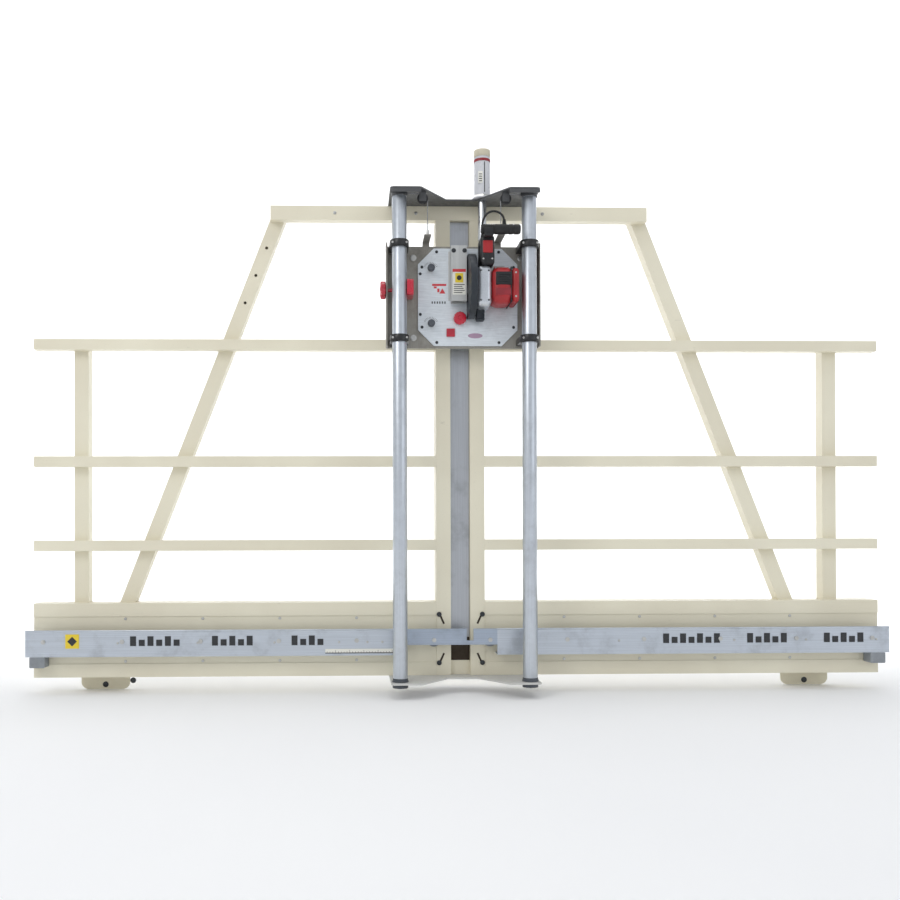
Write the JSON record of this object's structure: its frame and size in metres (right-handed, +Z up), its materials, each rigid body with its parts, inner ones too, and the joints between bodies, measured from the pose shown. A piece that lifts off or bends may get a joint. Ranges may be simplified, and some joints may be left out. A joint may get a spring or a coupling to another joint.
{
  "type": "panel saw",
  "caption": "Vertical panel saw: tubular steel frame with a roller fence, and a circular saw on a turntable that slides on two guide tubes with counterweights.",
  "frame": {"origin": "midway between the two foot bolts, on the rear face of the foot plates", "axes": "+X along the fence to the operator's right, -Y towards the operator, +Z up"},
  "size_m": [3.076, 0.3149, 1.9274],
  "materials": {
    "cream_paint": "satin cream powder coat",
    "cream_plastic": "cream moulded cap",
    "aluminium": "brushed extrusion",
    "galvanised": "bright galvanised",
    "dark_steel": "dark grey paint",
    "grey_block": "grey moulded block",
    "zinc_bolt": "zinc plated",
    "raw_steel": "turned steel bar",
    "plunger_knob": "dark grey knob",
    "grey_plastic": "dark grey moulded cap",
    "wire_rope": "steel wire rope",
    "black_nylon": "black nylon",
    "white_tube": "white enamel",
    "pale_rod": "pale polished rod",
    "zinc_sheet": "grey zinc plated sheet",
    "bright_plate": "bright plated plate",
    "chute_sheet": "light grey sheet",
    "red_knob": "red moulded plastic",
    "dark_guard": "dark cast guard",
    "cast_aluminium": "die-cast aluminium",
    "red_housing": "red moulded housing",
    "black_grip": "black moulded grip",
    "red_trigger": "red moulded switch",
    "blade_steel": "ground tool steel",
    "black_rubber": "black rubber",
    "roller_plastic": "dark nylon roller"
  },
  "bodies": {
    "root": {"top_rail": "cream_paint", "support_rails": "cream_paint", "side_uprights": "cream_paint", "diagonal_braces": "cream_paint", "centre_column": "cream_paint", "column_strip": "galvanised", "base_panels": "cream_paint", "foot_plates": "cream_paint", "fence_rails": "aluminium", "fence_bridge": "aluminium", "fence_blocks": "grey_block", "roller_bolts": "zinc_bolt", "base_screws": "zinc_bolt", "top_plate": "dark_steel", "bottom_plate": "galvanised", "guide_tubes": "galvanised", "tube_plugs": "grey_plastic", "frame_bolts": "zinc_bolt", "pulley_brackets": "dark_steel", "lift_cables": "wire_rope", "stop_tube": "white_tube", "stop_cap": "cream_plastic"},
    "carriage": {"carriage_plate": "zinc_sheet", "guide_bearings": "black_nylon", "lock_shoe": "red_knob"},
    "lock_knob": {"lock_knob": "red_knob"},
    "turntable": {"turntable_plate": "bright_plate", "retaining_ring": "zinc_sheet", "plunger_barrels": "zinc_bolt", "upper_guard": "dark_guard", "gear_case": "cast_aluminium", "motor_housing": "red_housing", "saw_handle": "black_grip", "dust_chute": "chute_sheet", "saw_lead": "black_rubber", "saw_plug": "black_rubber", "saw_connector": "black_rubber"},
    "index_plunger_upper": {"index_plunger_upper": "plunger_knob"},
    "index_plunger_lower": {"index_plunger_lower": "plunger_knob"},
    "saw_trigger": {"saw_trigger": "red_trigger"},
    "saw_knob": {"saw_knob": "red_knob"},
    "blade": {"blade": "blade_steel", "arbor": "zinc_bolt"},
    "counterweight_left": {"counterweight_left": "raw_steel"},
    "counterweight_right": {"counterweight_right": "raw_steel"},
    "pulley_left": {"pulley_left": "black_nylon"},
    "pulley_right": {"pulley_right": "black_nylon"},
    "stop_rod": {"stop_rod": "pale_rod"},
    "roller_1": {"roller_1": "roller_plastic"},
    "roller_2": {"roller_2": "roller_plastic"},
    "roller_3": {"roller_3": "roller_plastic"},
    "roller_4": {"roller_4": "roller_plastic"},
    "roller_5": {"roller_5": "roller_plastic"},
    "roller_6": {"roller_6": "roller_plastic"},
    "roller_7": {"roller_7": "roller_plastic"},
    "roller_8": {"roller_8": "roller_plastic"},
    "roller_9": {"roller_9": "roller_plastic"},
    "roller_10": {"roller_10": "roller_plastic"},
    "roller_11": {"roller_11": "roller_plastic"},
    "roller_12": {"roller_12": "roller_plastic"}
  },
  "joints": [
    {"name": "carriage_slide", "type": "slide", "parent": "root", "child": "carriage", "axis": [0, 0, 1], "range_m": [-1.13, 0], "deforming": ["lift_cables"]},
    {"name": "turntable_turn", "type": "hinge", "parent": "carriage", "child": "turntable", "pos_m": [0.02, -0.165, 1.383], "axis": [0, -1, 0], "range_deg": [0, 90]},
    {"name": "blade_spin", "type": "hinge", "parent": "turntable", "child": "blade", "pos_m": [0.028, -0.1964, 1.413], "axis": [1, 0, 0], "continuous": true},
    {"name": "trigger_press", "type": "slide", "parent": "turntable", "child": "saw_trigger", "axis": [0, 1, 0], "range_m": [0, 0.003], "stiffness_N_per_m": 600, "springref_m": -0.002},
    {"name": "upper_plunger_push", "type": "slide", "parent": "turntable", "child": "index_plunger_upper", "axis": [0, 1, 0], "range_m": [0, 0.0055]},
    {"name": "lower_plunger_push", "type": "slide", "parent": "turntable", "child": "index_plunger_lower", "axis": [0, 1, 0], "range_m": [0, 0.0055]},
    {"name": "saw_knob_turn", "type": "hinge", "parent": "turntable", "child": "saw_knob", "pos_m": [-0.009, -0.18, 1.307], "axis": [0, -1, 0], "range_deg": [-180, 180]},
    {"name": "lock_knob_turn", "type": "hinge", "parent": "carriage", "child": "lock_knob", "pos_m": [-0.28, -0.1939, 1.4], "axis": [1, 0, 0], "range_deg": [-180, 180]},
    {"name": "left_weight_slide", "type": "slide", "parent": "root", "child": "counterweight_left", "axis": [0, 0, 1], "range_m": [0, 1.13]},
    {"name": "right_weight_slide", "type": "slide", "parent": "root", "child": "counterweight_right", "axis": [0, 0, 1], "range_m": [0, 1.13]},
    {"name": "left_pulley_turn", "type": "hinge", "parent": "root", "child": "pulley_left", "pos_m": [-0.144, -0.2389, 1.707], "axis": [0, 1, 0], "range_deg": [0, 3815]},
    {"name": "right_pulley_turn", "type": "hinge", "parent": "root", "child": "pulley_right", "pos_m": [0.144, -0.2389, 1.707], "axis": [0, 1, 0], "range_deg": [-3815, 0]},
    {"name": "stop_rod_press", "type": "slide", "parent": "root", "child": "stop_rod", "axis": [0, 0, 1], "range_m": [0, 0.03], "stiffness_N_per_m": 1500, "springref_m": -0.01},
    {"name": "roller_1_turn", "type": "hinge", "parent": "root", "child": "roller_1", "pos_m": [-1.475, -0.1179, 0.171], "axis": [0, -1, 0], "continuous": true},
    {"name": "roller_2_turn", "type": "hinge", "parent": "root", "child": "roller_2", "pos_m": [-1.2, -0.1179, 0.171], "axis": [0, -1, 0], "continuous": true},
    {"name": "roller_3_turn", "type": "hinge", "parent": "root", "child": "roller_3", "pos_m": [-0.925, -0.1179, 0.171], "axis": [0, -1, 0], "continuous": true},
    {"name": "roller_4_turn", "type": "hinge", "parent": "root", "child": "roller_4", "pos_m": [-0.65, -0.1179, 0.171], "axis": [0, -1, 0], "continuous": true},
    {"name": "roller_5_turn", "type": "hinge", "parent": "root", "child": "roller_5", "pos_m": [-0.375, -0.1179, 0.171], "axis": [0, -1, 0], "continuous": true},
    {"name": "roller_6_turn", "type": "hinge", "parent": "root", "child": "roller_6", "pos_m": [-0.1, -0.1179, 0.171], "axis": [0, -1, 0], "continuous": true},
    {"name": "roller_7_turn", "type": "hinge", "parent": "root", "child": "roller_7", "pos_m": [0.1, -0.1179, 0.171], "axis": [0, -1, 0], "continuous": true},
    {"name": "roller_8_turn", "type": "hinge", "parent": "root", "child": "roller_8", "pos_m": [0.375, -0.1179, 0.171], "axis": [0, -1, 0], "continuous": true},
    {"name": "roller_9_turn", "type": "hinge", "parent": "root", "child": "roller_9", "pos_m": [0.65, -0.1179, 0.171], "axis": [0, -1, 0], "continuous": true},
    {"name": "roller_10_turn", "type": "hinge", "parent": "root", "child": "roller_10", "pos_m": [0.925, -0.1179, 0.171], "axis": [0, -1, 0], "continuous": true},
    {"name": "roller_11_turn", "type": "hinge", "parent": "root", "child": "roller_11", "pos_m": [1.2, -0.1179, 0.171], "axis": [0, -1, 0], "continuous": true},
    {"name": "roller_12_turn", "type": "hinge", "parent": "root", "child": "roller_12", "pos_m": [1.475, -0.1179, 0.171], "axis": [0, -1, 0], "continuous": true}
  ],
  "couplings": [
    {"joint": "left_weight_slide", "follows": "carriage_slide", "ratio": -1},
    {"joint": "right_weight_slide", "follows": "carriage_slide", "ratio": -1},
    {"joint": "left_pulley_turn", "follows": "carriage_slide", "rad_per_m": -58.824},
    {"joint": "right_pulley_turn", "follows": "carriage_slide", "rad_per_m": 58.824}
  ]
}
